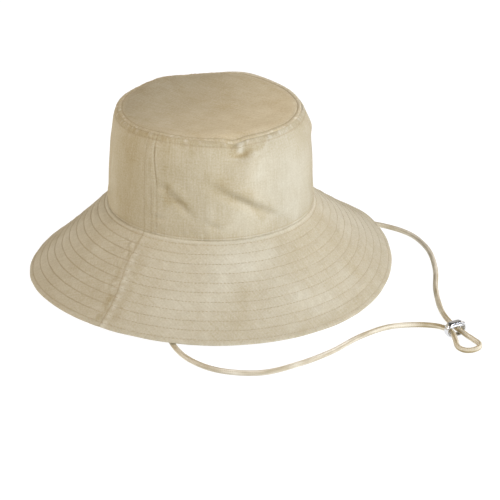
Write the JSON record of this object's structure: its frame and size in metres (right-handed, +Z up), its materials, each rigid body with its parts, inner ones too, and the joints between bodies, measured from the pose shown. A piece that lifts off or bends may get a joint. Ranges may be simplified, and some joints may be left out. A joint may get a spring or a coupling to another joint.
{
  "type": "sun hat with chin cord",
  "caption": "Soft cloth sun hat with a deep crown, a wide stitched sloping brim and a loose chin cord with a metal slider.",
  "frame": {"origin": "on the surface the hat rests on, under the middle of the hat without its cord", "axes": "+Z up through the crown, -Y towards the hat's front and the laid-out cord, +X towards one side seam"},
  "size_m": [0.3468, 0.4585, 0.1638],
  "materials": {
    "hat_cotton": "brushed matt twill, khaki beige",
    "braided_cord": "matt round braid, beige",
    "bright_metal": "polished plating"
  },
  "bodies": {
    "root": {"crown_tip": "hat_cotton", "crown_side_front": "hat_cotton", "crown_side_back": "hat_cotton", "brim_front": "hat_cotton", "brim_back": "hat_cotton", "chin_cord": "braided_cord", "cord_slider": "bright_metal"}
  },
  "joints": []
}
